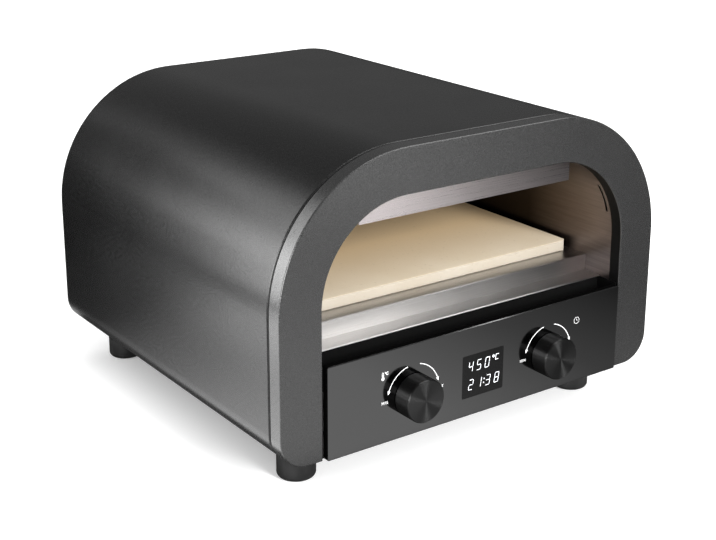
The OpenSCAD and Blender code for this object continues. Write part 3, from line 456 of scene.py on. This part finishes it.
class Layer:
    """Thin raised shapes on a face that looks to the front, drawn in X and Z in millimetres."""

    def __init__(self, name, centre, face_y, thickness):
        self.name = name
        self.centre = centre
        self.face_y = face_y
        self.thickness = thickness
        self.mesh = bmesh.new()

    def vertex(self, point, lift):
        x = self.centre[0] + point[0] * MM
        z = self.centre[1] + point[1] * MM
        return self.mesh.verts.new((x, self.face_y - lift, z))

    def solid(self, outline):
        """A closed prism over one convex outline."""
        front = [self.vertex(p, self.thickness) for p in outline]
        back = [self.vertex(p, 0) for p in outline]
        self.mesh.faces.new(front)
        self.mesh.faces.new(reversed(back))
        for i in range(len(outline)):
            j = (i + 1) % len(outline)
            self.mesh.faces.new((front[j], front[i], back[i], back[j]))

    def ribbon(self, points, width, closed=False):
        """A line of even width through the points, with mitred corners."""
        count = len(points)
        sides = []
        for i, point in enumerate(points):
            before = Vector(points[i - 1] if closed or i else point)
            after = Vector(points[(i + 1) % count] if closed or i < count - 1 else point)
            here = Vector(point)
            first = (here - before).normalized() if before != here else (after - here).normalized()
            second = (after - here).normalized() if after != here else first
            middle = (first + second).normalized()
            normal = Vector((-middle.y, middle.x))
            reach = width / 2 / max(MITRE_LIMIT, middle.dot(first))
            sides.append((here + normal * reach, here - normal * reach))
        rings = []
        for left, right in sides:
            rings.append([
                self.vertex(left, self.thickness), self.vertex(right, self.thickness),
                self.vertex(right, 0), self.vertex(left, 0),
            ])
        pairs = zip(rings, rings[1:] + rings[:1] if closed else rings[1:])
        for a, b in pairs:
            for i in range(4):
                j = (i + 1) % 4
                self.mesh.faces.new((a[i], b[i], b[j], a[j]))
        if not closed:
            self.mesh.faces.new(rings[0])
            self.mesh.faces.new(reversed(rings[-1]))

    def piece(self, material, body, slot_name):
        bmesh.ops.recalc_face_normals(self.mesh, faces=self.mesh.faces)
        data = bpy.data.meshes.new(self.name)
        self.mesh.to_mesh(data)
        self.mesh.free()
        data.materials.append(material)
        made = bpy.data.objects.new(self.name, data)
        bpy.context.scene.collection.objects.link(made)
        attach(made, body)


def arc(radius, start, end, steps, centre=(0, 0)):
    """Points on an arc, in degrees from +X."""
    angles = [math.radians(start + (end - start) * i / steps) for i in range(steps + 1)]
    return [(centre[0] + radius * math.cos(a), centre[1] + radius * math.sin(a)) for a in angles]


def ring(radius, count, centre):
    """Points round a whole circle."""
    return arc(radius, 0, 360 - 360 / count, count - 1, centre)


def middle_of(low, high):
    """The middle of a box, in X and Z."""
    return ((low.x + high.x) / 2, (low.z + high.z) / 2)


# Strokes of the letters, for a letter of height 1
LETTERS = {
    "M": [[(0, 0), (0, 1), (0.42, 0.3), (0.84, 1), (0.84, 0)]],
    "I": [[(0.1, 0), (0.1, 1)]],
    "N": [[(0, 0), (0, 1), (0.68, 0), (0.68, 1)]],
    "A": [[(0, 0), (0.38, 1), (0.76, 0)], [(0.16, 0.36), (0.60, 0.36)]],
    "X": [[(0, 0), (0.66, 1)], [(0, 1), (0.66, 0)]],
}
LETTER_WIDTHS = {"M": 0.84, "I": 0.2, "N": 0.68, "A": 0.76, "X": 0.66}
LETTER_GAP = 0.34


def write_word(layer, word, centre, height, line):
    """A short word, centred, in strokes."""
    width = sum(LETTER_WIDTHS[c] for c in word) + LETTER_GAP * (len(word) - 1)
    x = centre[0] - width * height / 2
    for letter in word:
        for stroke in LETTERS[letter]:
            layer.ribbon([(x + u * height, centre[1] + (v - 0.5) * height) for u, v in stroke], line)
        x += (LETTER_WIDTHS[letter] + LETTER_GAP) * height


# Sizes and places of the signs in millimetres from the knob's axis, angles from +X
SIGN_THICKNESS = 0.04
ARC_RADIUS = 26.4
ARC_WIDTH = 0.65
ARC_STEPS = 24
LEFT_TURN = (103, 160)
RIGHT_TURN = (76, 20)
ARROW_LENGTH = 3.4
ARROW_HALF = 1.35
LABEL_LEFT = -29.0
LABEL_RIGHT = 27.5
LABEL_HEIGHT = 2.4
LABEL_LINE = 0.32
ICON_LINE = 0.32
THERMOMETER_PLACE = (-31, 24)
CLOCK_PLACE = (33.5, 23)


def turn_arrow(layer, start, end):
    """An arc round a knob that ends in an arrowhead."""
    layer.ribbon(arc(ARC_RADIUS, start, end, ARC_STEPS), ARC_WIDTH)
    angle = math.radians(end)
    direction = 1 if end > start else -1
    out = Vector((math.cos(angle), math.sin(angle)))
    ahead = Vector((-math.sin(angle), math.cos(angle))) * direction
    base = out * ARC_RADIUS
    layer.solid([base + ahead * ARROW_LENGTH, base + out * ARROW_HALF, base - out * ARROW_HALF])


def thermometer(layer, centre):
    """A thermometer with a degree sign and a C beside it."""
    x, z = centre
    bulb_radius = 1.35
    stem_radius = 0.75
    fluid_radius = 0.85
    fluid_width = 0.5
    degree_radius = 0.5
    degree_line = 0.35
    letter_radius = 1.15
    letter_line = 0.5
    bulb = (x, z - 2.5)
    stem_top = (x, z + 2.0)
    fluid_top = (x, z + 1.2)
    degree = (x + 2.6, z + 2.3)
    letter_c = (x + 4.6, z + 1.5)
    opening = math.degrees(math.asin(stem_radius / bulb_radius))
    outline = arc(bulb_radius, 90 + opening, 450 - opening, 20, bulb)
    outline += arc(stem_radius, 0, 180, 8, stem_top)
    layer.ribbon(outline, ICON_LINE, closed=True)
    layer.solid(ring(fluid_radius, 16, bulb))
    layer.ribbon([bulb, fluid_top], fluid_width)
    layer.ribbon(ring(degree_radius, 12, degree), degree_line, closed=True)
    layer.ribbon(arc(letter_radius, 45, 315, 14, letter_c), letter_line)


def clock(layer, centre):
    """A clock face with two hands."""
    x, z = centre
    face_radius = 3.0
    minute_hand = 1.8
    hour_hand = 1.3
    layer.ribbon(ring(face_radius, 45, centre), ICON_LINE, closed=True)
    layer.ribbon([(x, z + minute_hand), (x, z), (x + hour_hand, z)], ICON_LINE)


def panel_signs(white):
    """The signs round each knob."""
    panel_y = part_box("control_panel")[0].y
    for side, icon, icon_place in (
        ("left", thermometer, THERMOMETER_PLACE),
        ("right", clock, CLOCK_PLACE),
    ):
        low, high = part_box("knob_cap_" + side)
        layer = Layer("signs_" + side, middle_of(low, high), panel_y, SIGN_THICKNESS * MM)
        turn_arrow(layer, *LEFT_TURN)
        turn_arrow(layer, *RIGHT_TURN)
        write_word(layer, "MIN", (LABEL_LEFT, 0), LABEL_HEIGHT, LABEL_LINE)
        write_word(layer, "MAX", (LABEL_RIGHT, 0), LABEL_HEIGHT, LABEL_LINE)
        icon(layer, icon_place)
        layer.piece(white, OVEN, "white_plastic")


# Each digit's lit bars, named as on any seven-bar display: a is the top bar, b to f follow it
# clockwise, and g is the middle bar
BARS = {
    "0": "abcdef", "1": "bc", "2": "abged", "3": "abgcd", "4": "fgbc",
    "5": "afgcd", "8": "abcdefg",
}

# Sizes and places on the display in millimetres from the window's middle
DIGIT_THICKNESS = 0.05
DIGIT_WIDTH = 4.2
DIGIT_HEIGHT = 8.8
DIGIT_LINE = 0.42
SLANT = 0.16
BAR_GAP = 0.62 * DIGIT_LINE
DEGREES_PLACE = (-16.0, 4.0)
DEGREES_PITCH = 8.95
TIME_Z = -12.4
TIME_PLACES = (-15.6, -6.6, 3.1, 12.7)
COLON_X = 0.4
COLON_HEIGHTS = (2.6, 6.0)
DOT_SIZE = 0.95
DEGREE_RING = (11.6, 12.2)
DEGREE_RING_RADIUS = 0.95
DEGREE_RING_LINE = 0.5
SMALL_C_PLACE = (13.6, 8.6)
SMALL_C_WIDTH = 3.2
SMALL_C_HEIGHT = 4.6


def bar_ends():
    half = DIGIT_HEIGHT / 2
    return {
        "a": ((0, DIGIT_HEIGHT), (DIGIT_WIDTH, DIGIT_HEIGHT)),
        "b": ((DIGIT_WIDTH, DIGIT_HEIGHT), (DIGIT_WIDTH, half)),
        "c": ((DIGIT_WIDTH, half), (DIGIT_WIDTH, 0)),
        "d": ((0, 0), (DIGIT_WIDTH, 0)),
        "e": ((0, half), (0, 0)),
        "f": ((0, DIGIT_HEIGHT), (0, half)),
        "g": ((0, half), (DIGIT_WIDTH, half)),
    }


def slanted(point, origin):
    return (origin[0] + point[0] + point[1] * SLANT, origin[1] + point[1])


def write_digit(layer, digit, origin):
    """The lit bars of one digit, each with pointed ends."""
    ends = bar_ends()
    for bar in BARS[digit]:
        start, end = (Vector(point) for point in ends[bar])
        run = (end - start).normalized()
        side = Vector((-run.y, run.x)) * DIGIT_LINE / 2
        tip = run * DIGIT_LINE / 4
        a, b = start + run * BAR_GAP, end - run * BAR_GAP
        outline = [a - tip, a + tip + side, b - tip + side, b + tip, b - tip - side, a + tip - side]
        layer.solid([slanted(point, origin) for point in outline])


def write_dot(layer, x, z):
    layer.solid([(x, z), (x + DOT_SIZE, z), (x + DOT_SIZE, z + DOT_SIZE), (x, z + DOT_SIZE)])


def write_small_c(layer):
    points = [(SMALL_C_WIDTH, SMALL_C_HEIGHT), (0, SMALL_C_HEIGHT), (0, 0), (SMALL_C_WIDTH, 0)]
    layer.ribbon([slanted(point, SMALL_C_PLACE) for point in points], DIGIT_LINE)


def display_digits(lit):
    """450 degrees over 21:38, on the face of the display window."""
    low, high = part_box("display_window")
    layer = Layer("display_digits", middle_of(low, high), low.y, DIGIT_THICKNESS * MM)
    x, z = DEGREES_PLACE
    for i, digit in enumerate("450"):
        write_digit(layer, digit, (x + i * DEGREES_PITCH, z))
    layer.ribbon(ring(DEGREE_RING_RADIUS, 12, DEGREE_RING), DEGREE_RING_LINE, closed=True)
    write_small_c(layer)
    for x, digit in zip(TIME_PLACES, "2138"):
        write_digit(layer, digit, (x, TIME_Z))
    for height in COLON_HEIGHTS:
        write_dot(layer, COLON_X + height * SLANT, TIME_Z + height)
    layer.piece(lit, OVEN, "white_plastic")


# ---------------------------------------------------------------- studio

FLOOR_REACH = 14.0
FLOOR_GLOW = 0.28

# A stop is a direction's height, from -1 to 1, and the world's radiance there
WORLD_STOPS = ((-1, 0.10), (-0.08, 0.05), (0.08, 0.1), (0.24, 0.2), (0.6, 0.17), (1, 0.35))

# The cards' stops: a place along the card in metres and the card's radiance there
NEAR_STOPS = ((-0.5, 0.0), (-0.1, 3.0), (0.1, 1.0), (0.25, 0.1), (0.5, 0.0))
LEFT_STOPS = ((-0.5, 0.0), (-0.05, 3.6), (0.15, 4.8), (0.3, 0.7), (0.5, 0.1))
FRONT_STOPS = ((-0.6, 0.0), (-0.2, 1.0), (0.0, 0.9), (0.2, 0.35), (0.4, 0.07), (0.7, 0.05))
FAR_STOPS = ((0.0, 0.0), (0.4, 1.75), (0.8, 0.0))
RIGHT_STOPS = ((-0.24, 0.7), (0.9, 0.7))
BACK_STOPS = ((-0.21, 0.7), (0.21, 0.7))
LOW_STOPS = ((-1.1, 10.5), (-0.75, 9.5), (-0.6, 0.0), (-0.3, 0.0))
MIDDLE_STOPS = ((-1.1, 8.0), (-0.75, 12.0), (-0.6, 3.8), (-0.48, 0.3), (-0.3, 0.1))
HIGH_STOPS = ((-1.1, 10.0), (-0.6, 4.5), (-0.4, 2.5), (-0.3, 0.1))

# The cards lie just above the floor, or stand behind the oven on its left
FLOOR_CARD_Z = 0.002
WALL_CARD_Y = 0.5


# Each box's name, place, target, width and height in metres, and radiance
HIGHLIGHT_BOXES = (
    ("back_left_high", (-0.9, 1.2, 1.1), (0, 0, 0.3), (1.2, 0.6), 0.45),
    ("high_right", (1.0, -0.55, 1.45), (0.05, -0.15, 0.12), (0.5, 0.5), 5.0),
    ("high_front", (0.3, -1.05, 1.45), (-0.05, -0.22, 0.09), (0.5, 0.4), 8.0),
    ("left_front_low", (-1.25, -0.92, 0.32), (0, -0.1, 0.15), (0.5, 0.64), 14.0),
    ("front_strip", (0.72, -1.40, 0.5), (-0.1, -0.15, 0.12), (0.22, 0.95), 5.7),
)
KEY_BOX = ("key_box", (0.24, -3.9, 1.55), (0, -0.1, 0.15), (1.0, 1.2), 66.0)


def make_floor():
    """A pale floor, level with the soles of the feet. Gloss sees the cards instead."""
    data = bpy.data.meshes.new("floor")
    corners = [(x * FLOOR_REACH, y * FLOOR_REACH, 0) for x, y in ((-1, -1), (1, -1), (1, 1), (-1, 1))]
    data.from_pydata(corners, [], [(0, 1, 2, 3)])
    floor = bpy.data.objects.new("floor", data)
    floor.visible_glossy = False
    bpy.context.scene.collection.objects.link(floor)
    matt = Finish("floor", Specular_IOR_Level=0.0, Roughness=1.0, Emission_Strength=FLOOR_GLOW)
    cloud = matt.noise(1.5, 2)
    matt.shade(Base_Color=matt.blend(cloud, grey(0.86), grey(0.88)), Emission_Color=grey(1))
    data.materials.append(matt.material)


def aim(light, target):
    light.rotation_euler = (Vector(target) - light.location).to_track_quat("-Z", "Y").to_euler()


def soft_box(name, place, target, size, radiance, highlights=True):
    """A rectangular light that makes highlights only, or lights matt colour only."""
    width, height = size
    data = bpy.data.lights.new(name, "AREA")
    data.shape = "RECTANGLE"
    data.size = width
    data.size_y = height
    data.energy = radiance * math.pi * width * height
    light = bpy.data.objects.new(name, data)
    light.location = place
    aim(light, target)
    light.visible_camera = False
    light.visible_diffuse = not highlights
    light.visible_glossy = highlights
    bpy.context.scene.collection.objects.link(light)


def grey_ramp(tree, value, stops):
    """A grey that runs straight from stop to stop, as a share of its peak, and the peak."""
    start, end = stops[0][0], stops[-1][0]
    peak = max(tone for place, tone in stops)
    reach = tree.nodes.new("ShaderNodeMapRange")
    reach.inputs["From Min"].default_value = start
    reach.inputs["From Max"].default_value = end
    ramp = tree.nodes.new("ShaderNodeValToRGB")
    tree.links.new(value, reach.inputs["Value"])
    tree.links.new(reach.outputs["Result"], ramp.inputs["Fac"])
    shares = [(place - start) / (end - start) for place, tone in stops]
    for share in shares[1:-1]:
        ramp.color_ramp.elements.new(share)
    for element, share, (place, tone) in zip(ramp.color_ramp.elements, shares, stops):
        element.position = share
        element.color = grey(tone / peak)
    return ramp.outputs["Color"], peak


def glow_card(name, corners, axis, stops):
    """A lit card that only gloss sees. Its radiance runs along an axis from stop to stop."""
    data = bpy.data.meshes.new(name)
    data.from_pydata(corners, [], [(0, 1, 2, 3)])
    glow = bpy.data.objects.new(name, data)
    bpy.context.scene.collection.objects.link(glow)
    for rays in ("camera", "diffuse", "transmission", "shadow"):
        setattr(glow, "visible_" + rays, False)
    lit = Finish(name, Base_Color=grey(0), Specular_IOR_Level=0.0)
    split = lit.node("SeparateXYZ", Vector=lit.place())
    tone, peak = grey_ramp(lit.tree, split.outputs[axis], stops)
    lit.shade(Emission_Color=tone, Emission_Strength=peak)
    data.materials.append(lit.material)


def floor_card(name, axis, stops, across):
    """A glow card on the floor, as long as its stops and as wide as across says."""
    start, end = stops[0][0], stops[-1][0]
    low, high = across
    corners = [(low, start), (high, start), (high, end), (low, end)]
    if axis == "X":
        corners = [(start, low), (end, low), (end, high), (start, high)]
    glow_card(name, [(x, y, FLOOR_CARD_Z) for x, y in corners], axis, stops)


def wall_card(name, stops, heights):
    """An upright glow card, as long as its stops along X."""
    start, end = stops[0][0], stops[-1][0]
    low, high = heights
    corners = [(start, low), (end, low), (end, high), (start, high)]
    glow_card(name, [(x, WALL_CARD_Y, z) for x, z in corners], "X", stops)


def open_sky(place, spread, strength):
    """A very wide and distant light, which lights the floor evenly far out."""
    data = bpy.data.lights.new("sky", "SUN")
    data.angle = math.radians(spread)
    data.energy = strength
    light = bpy.data.objects.new("sky", data)
    light.location = place
    aim(light, (0, 0, 0))
    light.visible_glossy = False
    bpy.context.scene.collection.objects.link(light)


def make_world():
    """Dim walls and a brighter ceiling."""
    world = bpy.data.worlds.new("studio")
    world.use_nodes = True
    tree = world.node_tree
    direction = tree.nodes.new("ShaderNodeTexCoord")
    split = tree.nodes.new("ShaderNodeSeparateXYZ")
    tree.links.new(direction.outputs["Generated"], split.inputs["Vector"])
    tone, peak = grey_ramp(tree, split.outputs["Z"], WORLD_STOPS)
    tree.links.new(tone, tree.nodes["Background"].inputs["Color"])
    tree.nodes["Background"].inputs["Strength"].default_value = peak
    bpy.context.scene.world = world


def make_studio():
    """The sky and the key box light matt colours. The other boxes and the cards draw highlights."""
    make_world()
    make_floor()
    open_sky(place=(-0.4, -0.6, 3.0), spread=120, strength=3.8)
    floor_card("near_glow", "Y", NEAR_STOPS, across=(-0.36, -0.215))
    floor_card("left_glow", "Y", LEFT_STOPS, across=(-1.4, -0.36))
    floor_card("front_glow", "X", FRONT_STOPS, across=(-0.75, -0.25))
    floor_card("far_glow", "X", FAR_STOPS, across=(-2.2, -0.75))
    floor_card("right_glow", "Y", RIGHT_STOPS, across=(0.215, 1.0))
    floor_card("back_glow", "X", BACK_STOPS, across=(0.25, 1.0))
    wall_card("low_card", LOW_STOPS, heights=(0.0, 0.24))
    wall_card("middle_card", MIDDLE_STOPS, heights=(0.24, 0.50))
    wall_card("high_card", HIGH_STOPS, heights=(0.50, 0.76))
    for box in HIGHLIGHT_BOXES:
        soft_box(*box)
    soft_box(*KEY_BOX, highlights=False)
    bpy.context.scene.view_settings.view_transform = "Standard"


make_camera()
dress_nodes(finishes())
panel_signs(white_print())
display_digits(lit_digit())
make_studio()
